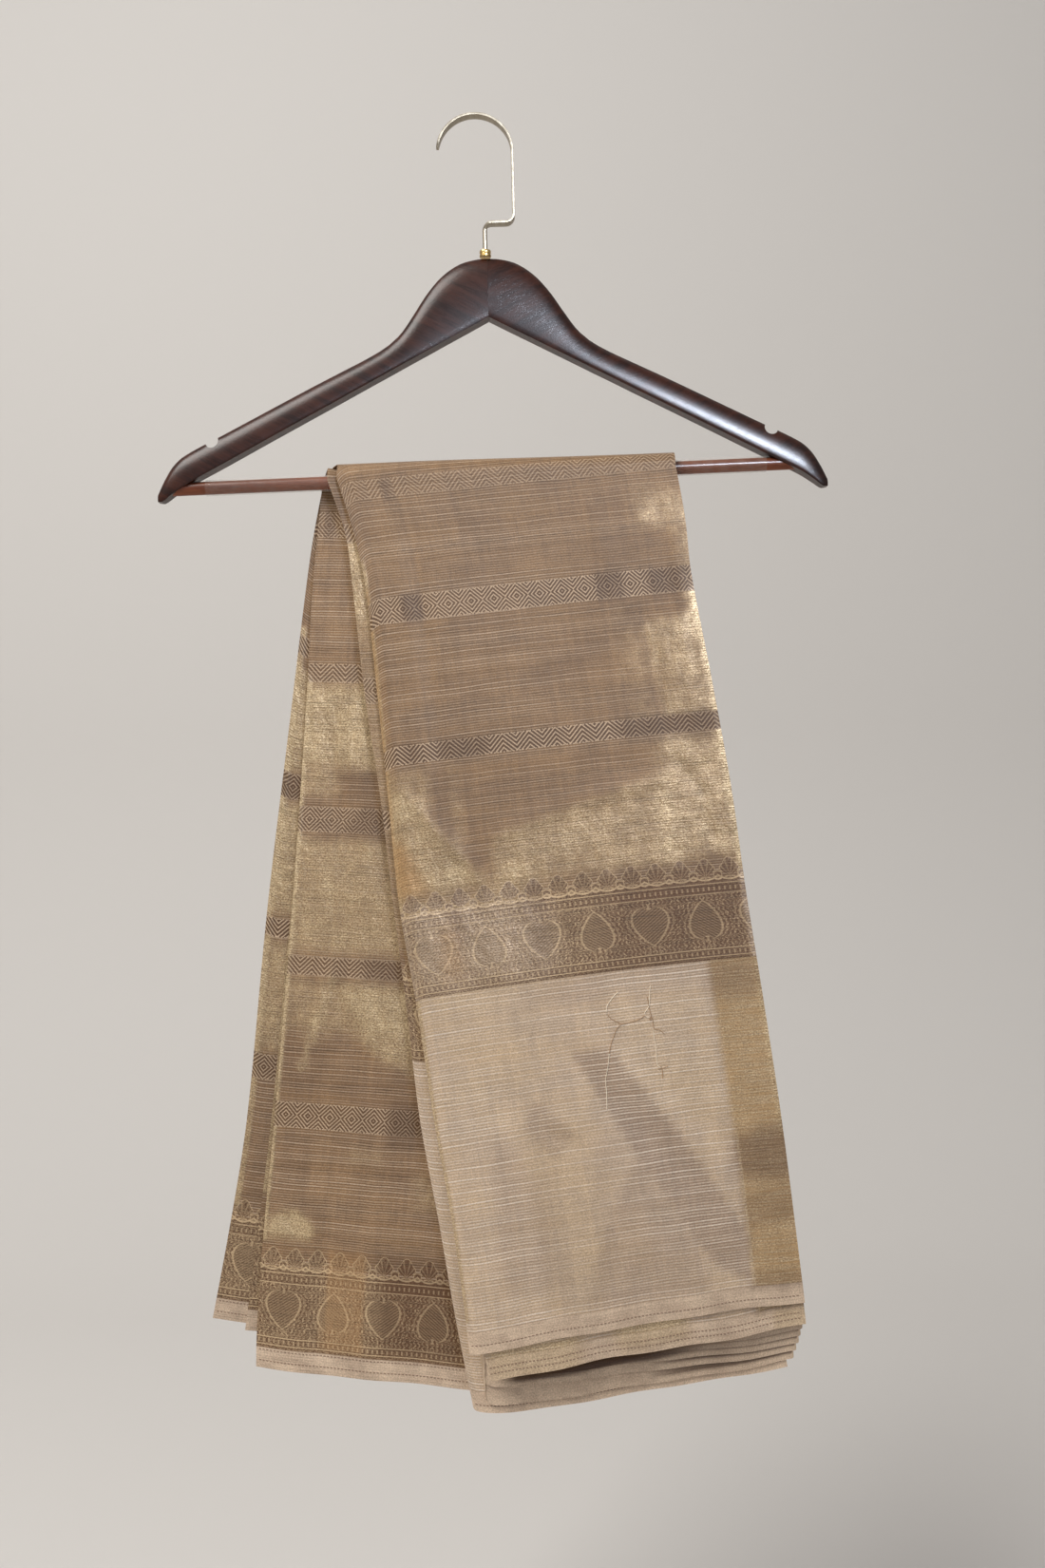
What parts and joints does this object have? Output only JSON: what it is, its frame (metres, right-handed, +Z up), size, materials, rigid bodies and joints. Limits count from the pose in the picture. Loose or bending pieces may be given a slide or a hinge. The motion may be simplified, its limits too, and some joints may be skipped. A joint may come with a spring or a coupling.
{
  "type": "folded organza saree on a wooden clothes hanger",
  "caption": "Tissue organza saree folded to a long narrow pack and hung slantwise over the bar of a wooden trouser hanger with a flat metal hook.",
  "frame": {"origin": "inside of the hook's top, where the pin or rail that carries the hanger touches it", "axes": "+Z up; +X to the right as seen from the front of the hanger; the front of the cloth faces -Y"},
  "size_m": [0.442, 0.0463, 0.8541],
  "materials": {
    "hook_metal": "pale champagne plating, satin",
    "collar_brass": "dull brass",
    "lacquered_wood": "dark mahogany stain under satin lacquer",
    "bar_wood": "red-brown stained wood, bare at the ends",
    "clear_sleeve": "clear soft tube",
    "tissue_cloth": "sheer tissue weave with metallic gold weft and thin pale ribs",
    "hem_cloth": "plain pale hem with machine stitches"
  },
  "bodies": {
    "root": {"hook": "hook_metal", "ferrule": "collar_brass", "arm_left": "lacquered_wood", "arm_right": "lacquered_wood", "bar": "bar_wood", "bar_sleeve": "clear_sleeve", "stretch_inner": "tissue_cloth", "stretch_hidden": "tissue_cloth", "stretch_second": "tissue_cloth", "stretch_outer": "tissue_cloth"}
  },
  "joints": []
}
